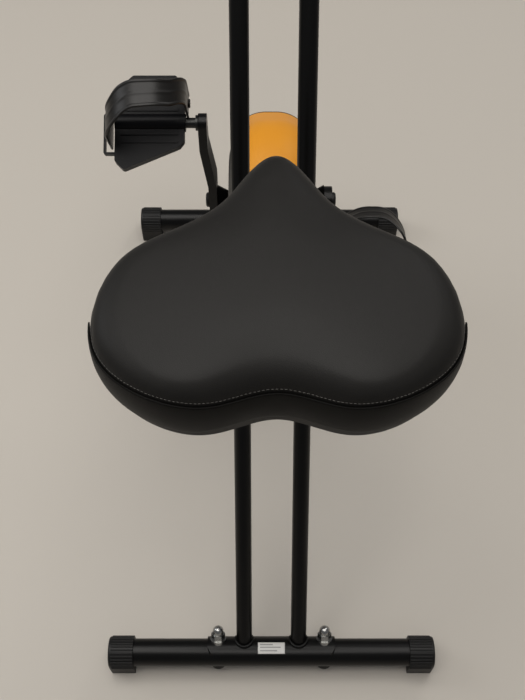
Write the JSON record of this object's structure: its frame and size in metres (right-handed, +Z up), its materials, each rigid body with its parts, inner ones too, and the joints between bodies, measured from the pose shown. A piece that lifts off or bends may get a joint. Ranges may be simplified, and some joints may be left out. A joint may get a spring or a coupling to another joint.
{
  "type": "folding exercise bike",
  "caption": "Folding upright exercise bike with an X frame, wide saddle, enclosed drive with an orange rim band, strapped pedals and a looped handlebar.",
  "frame": {"origin": "on the floor, midway between the two foot tubes and in the bike's middle plane", "axes": "+X to the rider's right, +Y forwards (the way the rider faces), +Z up"},
  "size_m": [0.46, 0.814, 1.1835],
  "materials": {
    "black_steel": "satin black powder coat",
    "bright_steel": "zinc plated",
    "cast_iron": "turned",
    "black_plastic": "fine moulded texture",
    "orange_plastic": "matte moulded",
    "strap_rubber": "matte rubber",
    "grip_foam": "closed-cell foam",
    "saddle_vinyl": "grained vinyl",
    "display": "blank grey-green window",
    "button_grey": "matte rubber"
  },
  "bodies": {
    "main_frame": {"front_foot_tube": "black_steel", "front_foot_caps": "black_plastic", "front_bracket": "black_steel", "front_fasteners": "bright_steel", "main_tube": "black_steel", "pivot_sleeve": "black_steel", "pivot_bolt": "bright_steel", "pivot_nut": "bright_steel", "side_plates": "black_steel", "bearing_shells": "black_steel", "bearings": "bright_steel", "housing_left": "black_plastic", "housing_right": "black_plastic", "housing_band": "orange_plastic", "housing_screws": "bright_steel", "seat_sleeve": "black_plastic", "clamp_bosses": "black_steel", "drive_belt": "strap_rubber"},
    "handlebar_leg": {"rear_foot_tube": "black_steel", "rear_foot_caps": "black_plastic", "rear_bracket": "black_steel", "rear_bolts": "bright_steel", "rear_washers": "bright_steel", "rear_dome_nuts": "bright_steel", "leg_tubes": "black_steel", "leg_braces": "black_steel", "pivot_bushes": "black_plastic", "fold_plate": "black_steel", "handlebar_clamp": "black_steel", "clamp_screws": "bright_steel", "handlebar": "black_steel", "foam_grips": "grip_foam", "bar_plugs": "black_plastic", "console_case": "black_plastic", "console_front": "black_plastic", "console_display": "display"},
    "seat_post": {"seat_post": "black_steel", "saddle_plate": "black_steel", "saddle_bolts": "bright_steel", "saddle_base": "black_plastic", "saddle_cushion": "saddle_vinyl"},
    "crankset": {"crank_axle": "bright_steel", "crank_pulley": "black_plastic", "crank_left": "black_steel", "crank_right": "black_steel", "crank_caps": "black_plastic", "pedal_spindles": "bright_steel"},
    "pedal_left": {"pedal_left": "black_plastic", "strap_left": "strap_rubber"},
    "pedal_right": {"pedal_right": "black_plastic", "strap_right": "strap_rubber"},
    "flywheel": {"flywheel": "cast_iron", "flywheel_shaft": "bright_steel", "flywheel_pulley": "black_plastic"},
    "magnet_arm": {"magnet_arm": "bright_steel", "magnets": "bright_steel"},
    "fold_knob": {"fold_knob": "black_plastic"},
    "seat_knob": {"seat_knob": "black_plastic"},
    "tension_knob": {"tension_knob": "black_plastic"},
    "console_button": {"console_button": "button_grey"}
  },
  "joints": [
    {"name": "fold", "type": "hinge", "parent": "main_frame", "child": "handlebar_leg", "pos_m": [0, -0.04336, 0.48177], "axis": [1, 0, 0], "range_deg": [0, 48]},
    {"name": "seat_height", "type": "slide", "parent": "main_frame", "child": "seat_post", "axis": [0, -0.6896, 0.7242], "range_m": [0, 0.12]},
    {"name": "fold_knob_turn", "type": "hinge", "parent": "main_frame", "child": "fold_knob", "pos_m": [0, -0.09508, 0.53609], "axis": [1, 0, 0], "range_deg": [0, 720]},
    {"name": "seat_knob_turn", "type": "hinge", "parent": "main_frame", "child": "seat_knob", "pos_m": [0, -0.18838, 0.63406], "axis": [0, 0.7242, 0.6896], "range_deg": [0, 720]},
    {"name": "crank_spin", "type": "hinge", "parent": "main_frame", "child": "crankset", "pos_m": [0, 0.222, 0.295], "axis": [-1, 0, 0], "continuous": true},
    {"name": "flywheel_spin", "type": "hinge", "parent": "main_frame", "child": "flywheel", "pos_m": [0, 0.153, 0.38], "axis": [-1, 0, 0], "continuous": true},
    {"name": "pedal_left_spin", "type": "hinge", "parent": "crankset", "child": "pedal_left", "pos_m": [0, 0.222, 0.46], "axis": [-1, 0, 0], "continuous": true},
    {"name": "pedal_right_spin", "type": "hinge", "parent": "crankset", "child": "pedal_right", "pos_m": [0, 0.222, 0.13], "axis": [-1, 0, 0], "continuous": true},
    {"name": "tension_turn", "type": "hinge", "parent": "handlebar_leg", "child": "tension_knob", "pos_m": [0, 0.25806, 0.97602], "axis": [0, -0.9659, 0.2588], "range_deg": [0, 270]},
    {"name": "magnet_swing", "type": "hinge", "parent": "main_frame", "child": "magnet_arm", "pos_m": [0, 0.07081, 0.39155], "axis": [1, 0, 0], "range_deg": [0, 3]},
    {"name": "button_press", "type": "slide", "parent": "handlebar_leg", "child": "console_button", "axis": [0, 0.5736, -0.8192], "range_m": [0, 0.0015], "stiffness_N_per_m": 400, "springref_m": -0.001}
  ],
  "couplings": [
    {"joint": "flywheel_spin", "follows": "crank_spin", "ratio": 5.7143},
    {"joint": "magnet_swing", "follows": "tension_turn", "ratio": 0.011111}
  ]
}
